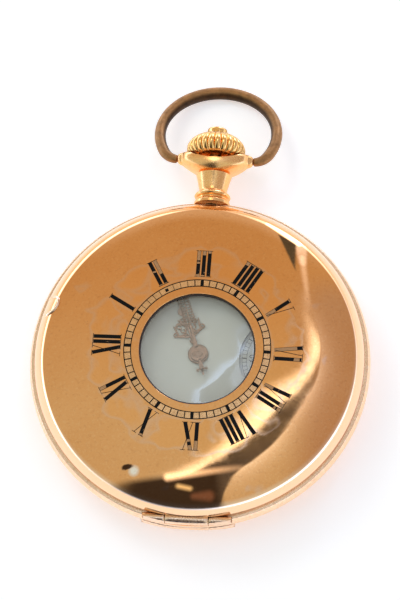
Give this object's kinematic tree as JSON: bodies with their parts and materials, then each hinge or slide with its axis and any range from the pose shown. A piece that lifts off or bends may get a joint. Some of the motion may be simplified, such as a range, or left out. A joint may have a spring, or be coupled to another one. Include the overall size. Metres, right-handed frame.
{
  "type": "pocket watch",
  "caption": "Half-hunter pocket watch with hinged covers over a glazed dial, a swinging bow, a crown that winds, and a going train under bridges.",
  "frame": {"origin": "middle of the flat field of the back cover, on the table", "axes": "+Z out of the dial, +Y from the dial centre to the pendant, the crown and the bow, -Y to the hinges, -X to twelve"},
  "size_m": [0.05, 0.0715, 0.0121],
  "materials": {
    "case_gold": "polished and worn gold filling on brass",
    "gilt": "frosted gilding",
    "brass": "circular grained",
    "old_brass": "dull, brown with age",
    "rose_gold": "polished",
    "steel": "polished",
    "blued_steel": "heat blued",
    "ruby": "polished",
    "enamel": "glossy",
    "clear_glass": "polished"
  },
  "bodies": {
    "case": {"case_band": "case_gold", "pendant": "case_gold", "pendant_sleeve": "steel", "bezel": "case_gold", "crystal": "clear_glass", "hinge_pins": "brass", "lift_spring": "blued_steel", "spring_screws": "steel", "click_spring": "blued_steel", "main_plate": "gilt", "barrel_bridge": "gilt", "train_bridge": "gilt", "balance_cock": "gilt", "pallet_bridge": "gilt", "bridge_screws": "steel", "case_screws": "steel", "jewels": "ruby", "dial": "enamel", "seconds_dial": "enamel", "hairspring": "blued_steel"},
    "front_lid": {"front_cover": "case_gold", "window_glass": "clear_glass", "window_glass_ring": "case_gold"},
    "back_lid": {"back_cover": "case_gold"},
    "dust_lid": {"cuvette": "gilt"},
    "lock": {"lock_spring": "blued_steel"},
    "bow_group": {"bow": "old_brass", "bow_pivots": "old_brass"},
    "stem_pinions": {"winding_pinion": "steel", "sliding_pinion": "steel"},
    "stem_group": {"winding_stem": "steel", "crown_shaft": "steel", "crown": "case_gold"},
    "crown_wheel_group": {"crown_wheel": "steel"},
    "ratchet_group": {"ratchet_wheel": "steel", "barrel_arbor": "steel"},
    "click_group": {"click": "steel"},
    "barrel_group": {"barrel_drum": "brass", "barrel_cover": "brass", "mainspring": "blued_steel"},
    "centre_group": {"centre_wheel": "brass", "centre_arbor": "steel"},
    "third_group": {"third_wheel": "brass", "third_arbor": "steel"},
    "fourth_group": {"fourth_wheel": "brass", "fourth_arbor": "steel", "seconds_hand": "blued_steel"},
    "escape_group": {"escape_wheel": "gilt", "escape_arbor": "steel"},
    "pallet_group": {"pallet_fork": "steel", "pallet_stones": "ruby"},
    "balance_group": {"balance_wheel": "gilt", "balance_staff": "steel"},
    "regulator_group": {"regulator": "steel"},
    "minute_group": {"cannon_pinion": "steel", "minute_hand": "rose_gold"},
    "minute_wheel_group": {"minute_wheel": "brass"},
    "setting_group": {"setting_wheel": "steel"},
    "hour_group": {"hour_wheel": "brass", "hour_hand": "rose_gold"}
  },
  "joints": [
    {"name": "front_cover_hinge", "type": "hinge", "parent": "case", "child": "front_lid", "pos_m": [0, -0.0243, 0.00725], "axis": [1, 0, 0], "range_deg": [0, 95]},
    {"name": "back_cover_hinge", "type": "hinge", "parent": "case", "child": "back_lid", "pos_m": [0, -0.0243, 0.00475], "axis": [-1, 0, 0], "range_deg": [0, 100]},
    {"name": "cuvette_hinge", "type": "hinge", "parent": "case", "child": "dust_lid", "pos_m": [0, -0.02215, 0.00385], "axis": [-1, 0, 0], "range_deg": [0, 80]},
    {"name": "lock_spring_flex", "type": "hinge", "parent": "case", "child": "lock", "pos_m": [-0.01909, 0.01336, 0.006], "axis": [0, 0, 1], "range_deg": [-0.8, 0], "stiffness_Nm_per_rad": 8},
    {"name": "bow_swing", "type": "hinge", "parent": "case", "child": "bow_group", "pos_m": [0, 0.03215, 0.006], "axis": [1, 0, 0], "range_deg": [-95, 140]},
    {"name": "crown_turn", "type": "hinge", "parent": "case", "child": "stem_pinions", "pos_m": [0, 0, 0.006], "axis": [0, 1, 0], "continuous": true},
    {"name": "crown_slide", "type": "slide", "parent": "stem_pinions", "child": "stem_group", "axis": [0, 1, 0], "range_m": [-0.0005, 0.0012]},
    {"name": "crown_wheel_turn", "type": "hinge", "parent": "case", "child": "crown_wheel_group", "pos_m": [0, 0.01316, 0], "axis": [0, 0, 1], "continuous": true},
    {"name": "ratchet_turn", "type": "hinge", "parent": "case", "child": "ratchet_group", "pos_m": [-0.00826, 0.00578, 0], "axis": [0, 0, 1], "continuous": true},
    {"name": "click_swing", "type": "hinge", "parent": "case", "child": "click_group", "pos_m": [-0.01592, 0.00042, 0], "axis": [0, 0, 1], "range_deg": [0, 10], "stiffness_Nm_per_rad": 0.0001},
    {"name": "seconds_turn", "type": "hinge", "parent": "case", "child": "fourth_group", "pos_m": [0.0122, 0, 0], "axis": [0, 0, 1], "continuous": true},
    {"name": "third_turn", "type": "hinge", "parent": "case", "child": "third_group", "pos_m": [0.00696, 0.00497, 0], "axis": [0, 0, 1], "continuous": true},
    {"name": "centre_turn", "type": "hinge", "parent": "case", "child": "centre_group", "pos_m": [0, 0, 0], "axis": [0, 0, 1], "continuous": true},
    {"name": "barrel_turn", "type": "hinge", "parent": "case", "child": "barrel_group", "pos_m": [-0.00826, 0.00578, 0], "axis": [0, 0, 1], "continuous": true},
    {"name": "escape_turn", "type": "hinge", "parent": "case", "child": "escape_group", "pos_m": [0.00912, -0.00533, 0], "axis": [0, 0, 1], "continuous": true},
    {"name": "pallet_swing", "type": "hinge", "parent": "case", "child": "pallet_group", "pos_m": [0.00588, -0.00817, 0], "axis": [0, 0, 1], "range_deg": [-5, 5]},
    {"name": "balance_swing", "type": "hinge", "parent": "case", "child": "balance_group", "pos_m": [0.0015, -0.012, 0], "axis": [0, 0, 1], "range_deg": [-270, 270], "stiffness_Nm_per_rad": 0.0000026},
    {"name": "regulator_swing", "type": "hinge", "parent": "case", "child": "regulator_group", "pos_m": [0.0015, -0.012, 0], "axis": [0, 0, 1], "range_deg": [-18, 18]},
    {"name": "minute_turn", "type": "hinge", "parent": "case", "child": "minute_group", "pos_m": [0, 0, 0], "axis": [0, 0, 1], "continuous": true},
    {"name": "minute_wheel_turn", "type": "hinge", "parent": "case", "child": "minute_wheel_group", "pos_m": [-0.00222, 0.00448, 0], "axis": [0, 0, 1], "continuous": true},
    {"name": "setting_wheel_turn", "type": "hinge", "parent": "case", "child": "setting_group", "pos_m": [0, 0.01033, 0], "axis": [0, 0, 1], "continuous": true},
    {"name": "hour_turn", "type": "hinge", "parent": "case", "child": "hour_group", "pos_m": [0, 0, 0], "axis": [0, 0, 1], "continuous": true}
  ],
  "couplings": [
    {"joint": "cuvette_hinge", "follows": "back_cover_hinge", "ratio": 0.8},
    {"joint": "crown_wheel_turn", "follows": "crown_turn", "ratio": 0.4},
    {"joint": "ratchet_turn", "follows": "crown_turn", "ratio": -0.26667},
    {"joint": "third_turn", "follows": "seconds_turn", "ratio": -0.13333},
    {"joint": "centre_turn", "follows": "seconds_turn", "ratio": 0.016667},
    {"joint": "barrel_turn", "follows": "seconds_turn", "ratio": -0.0027778},
    {"joint": "escape_turn", "follows": "seconds_turn", "ratio": -10},
    {"joint": "minute_wheel_turn", "follows": "minute_turn", "ratio": -0.33333},
    {"joint": "setting_wheel_turn", "follows": "minute_turn", "ratio": 0.5},
    {"joint": "hour_turn", "follows": "minute_turn", "ratio": 0.083333}
  ]
}
